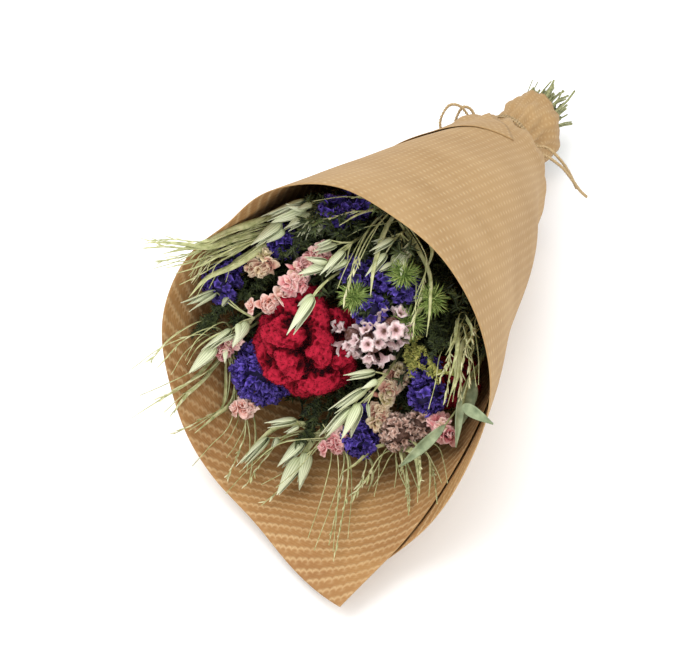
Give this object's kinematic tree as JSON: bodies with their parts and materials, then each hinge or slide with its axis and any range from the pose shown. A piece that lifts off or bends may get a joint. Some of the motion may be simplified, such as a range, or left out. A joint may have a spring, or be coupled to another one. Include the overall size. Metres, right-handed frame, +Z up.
{
  "type": "dried flower bouquet",
  "caption": "Mixed dried-flower bouquet lying in a rolled cone of embossed kraft paper, tied with twine at the gathered neck, with cut stem ends past the sleeve.",
  "frame": {"origin": "centre of the bounding box's underside, on the table", "axes": "the flowers and the paper's open mouth look along -Y, the cut stems point along +Y, +Z up"},
  "size_m": [0.2332, 0.6328, 0.2089],
  "materials": {
    "kraft_paper": "matt, embossed",
    "twine": "fibrous",
    "cockscomb_red": "velvety",
    "cockscomb_dark": "velvety",
    "statice_pale": "papery",
    "statice_dusty": "papery",
    "statice_mauve": "papery",
    "statice_purple": "papery",
    "larkspur_pink": "papery",
    "larkspur_salmon": "papery",
    "larkspur_beige": "papery",
    "oat_green": "dry, satin",
    "grass_pale": "dry",
    "tuft_green": "dry",
    "moss_dark": "dry",
    "goldenrod": "dry",
    "leaf_green": "dry, matt",
    "stem_green": "dry"
  },
  "bodies": {
    "root": {"kraft_wrap": "kraft_paper", "twine_tie": "twine", "twine_tail_1": "twine", "twine_tail_2": "twine", "cockscomb_1": "cockscomb_red", "cockscomb_2": "cockscomb_dark", "statice_pale": "statice_pale", "statice_dusty": "statice_dusty", "statice_mauve": "statice_mauve", "leaves": "leaf_green", "statice_1": "statice_purple", "statice_2": "statice_purple", "statice_3": "statice_purple", "statice_4": "statice_purple", "statice_5": "statice_purple", "statice_6": "statice_purple", "statice_7": "statice_purple", "statice_8": "statice_purple", "cockscomb_1_stem": "stem_green", "cockscomb_2_stem": "stem_green", "statice_pale_stem": "stem_green", "statice_dusty_stem": "stem_green", "statice_mauve_stem": "stem_green", "statice_1_stem": "stem_green", "statice_2_stem": "stem_green", "statice_3_stem": "stem_green", "statice_4_stem": "stem_green", "statice_5_stem": "stem_green", "statice_6_stem": "stem_green", "statice_7_stem": "stem_green", "statice_8_stem": "stem_green", "oats_1": "oat_green", "oats_2": "oat_green", "oats_3": "oat_green", "oats_4": "oat_green", "oats_5": "oat_green", "oats_6": "oat_green", "oats_7": "oat_green", "larkspur_1": "larkspur_beige", "larkspur_2": "larkspur_pink", "larkspur_3": "larkspur_salmon", "larkspur_4": "larkspur_salmon", "larkspur_5": "larkspur_pink", "larkspur_6": "larkspur_beige", "larkspur_7": "larkspur_pink", "larkspur_8": "larkspur_pink", "tuft_1": "tuft_green", "tuft_2": "tuft_green", "tuft_3": "tuft_green", "grass_1": "grass_pale", "grass_2": "grass_pale", "grass_3": "grass_pale", "grass_4": "grass_pale", "grass_5": "grass_pale", "grass_6": "grass_pale", "moss_1": "moss_dark", "moss_2": "moss_dark", "moss_3": "moss_dark", "goldenrod": "goldenrod"}
  },
  "joints": []
}
